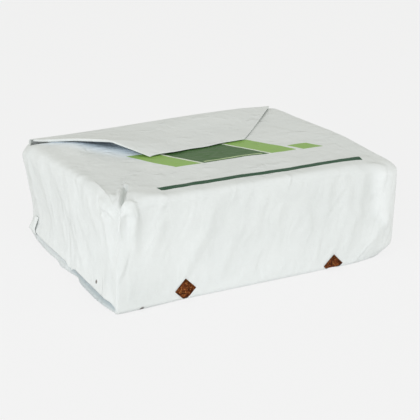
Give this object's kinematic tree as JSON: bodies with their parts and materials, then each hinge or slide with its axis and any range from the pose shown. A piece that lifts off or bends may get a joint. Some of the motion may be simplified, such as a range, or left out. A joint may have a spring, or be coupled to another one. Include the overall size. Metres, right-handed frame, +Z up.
{
  "type": "grow bag",
  "caption": "Rectangular slab of compressed coir in a white film bag folded shut over its top, with square drain holes punched cornerwise low in its long walls.",
  "frame": {"origin": "on the flat underside, below the middle of the slab", "axes": "+X along the long side to the right, -Y out of the long front, +Z up"},
  "size_m": [0.3229, 0.2518, 0.1161],
  "materials": {
    "white_film": "white polyethylene film, satin, softly creased, with green print on its top",
    "coir": "pressed coir fibre and pith, rough and matt"
  },
  "bodies": {
    "root": {"film_bag": "white_film", "coir_slab": "coir"}
  },
  "joints": []
}
